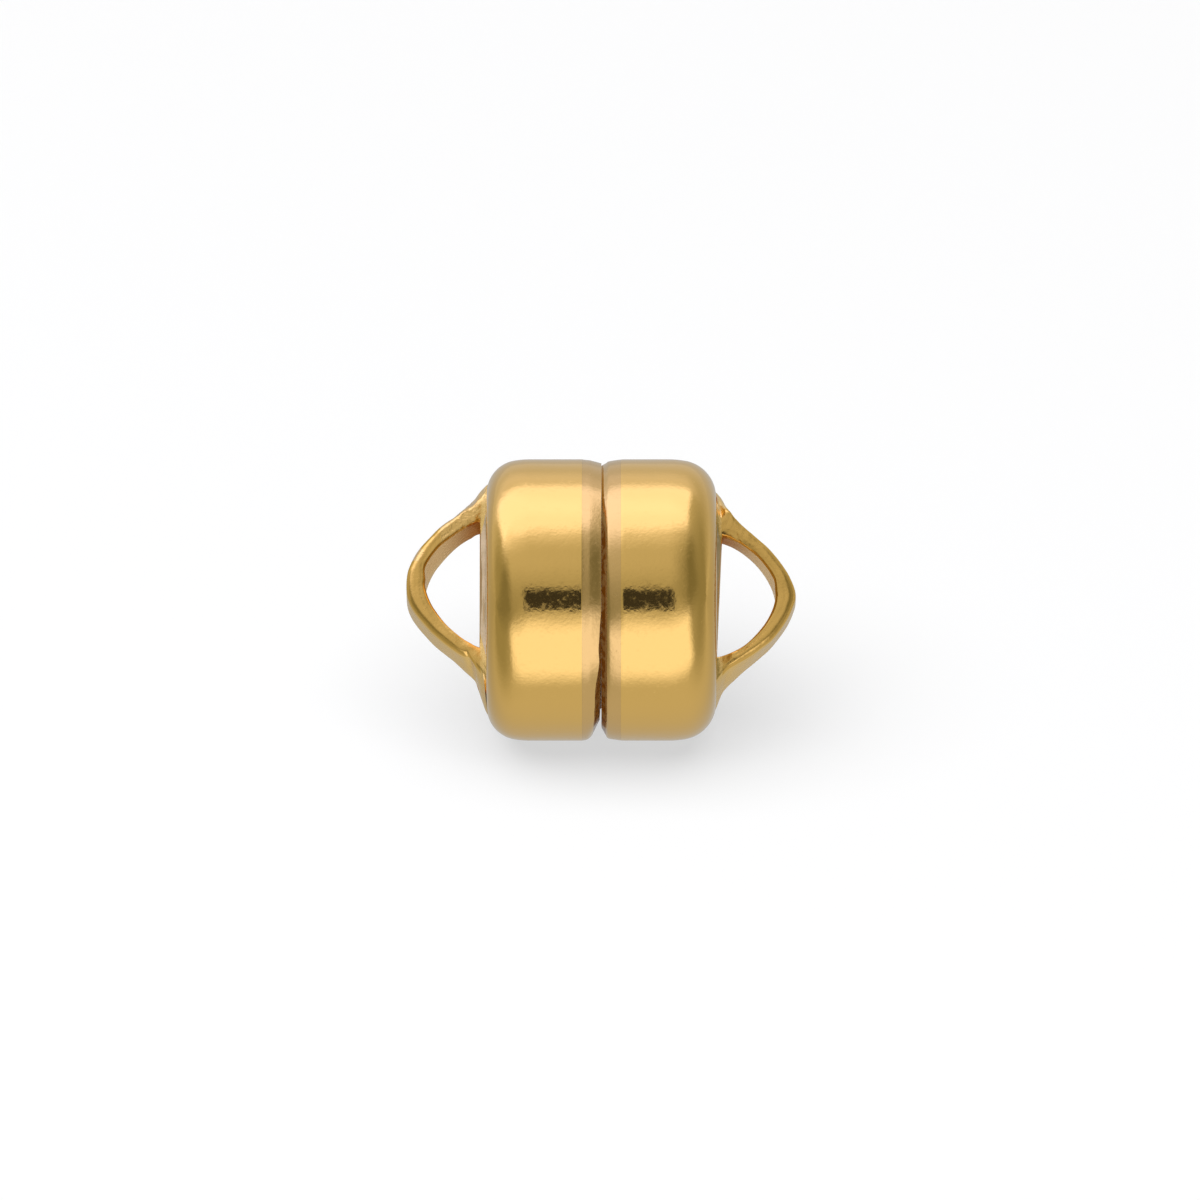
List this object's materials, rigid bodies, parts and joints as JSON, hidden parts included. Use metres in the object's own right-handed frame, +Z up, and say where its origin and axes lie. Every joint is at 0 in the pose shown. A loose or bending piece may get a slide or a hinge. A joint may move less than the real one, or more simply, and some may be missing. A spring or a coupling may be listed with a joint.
{
  "type": "magnetic clasp",
  "caption": "Round magnetic clasp of polished gold whose halves hold end to end, each with a closing ring at its mouth and a soldered triangular eye for a strand.",
  "frame": {"origin": "on the clasp's axis, in the plane where the two halves meet", "axes": "+X along the axis from the left half to the right half, +Z up, the clasp lying on its side on the plane z = -3 mm"},
  "size_m": [0.0082, 0.006, 0.006],
  "materials": {
    "yellow_gold": "polished yellow gold with a faint orange peel and fine scratches",
    "rose_gold": "polished rose gold, filed by hand at the mouth",
    "magnet_plating": "bright nickel plating"
  },
  "bodies": {
    "left_half": {"left_cup": "yellow_gold", "left_rim": "rose_gold", "left_magnet": "magnet_plating"},
    "right_magnet_link": {"right_magnet": "magnet_plating"},
    "right_half": {"right_cup": "yellow_gold", "right_rim": "rose_gold"}
  },
  "joints": [
    {"name": "pull_apart", "type": "slide", "parent": "left_half", "child": "right_magnet_link", "axis": [1, 0, 0], "range_m": [0, 0.015]},
    {"name": "turn", "type": "hinge", "parent": "right_magnet_link", "child": "right_half", "pos_m": [0, 0, 0], "axis": [1, 0, 0], "continuous": true}
  ]
}
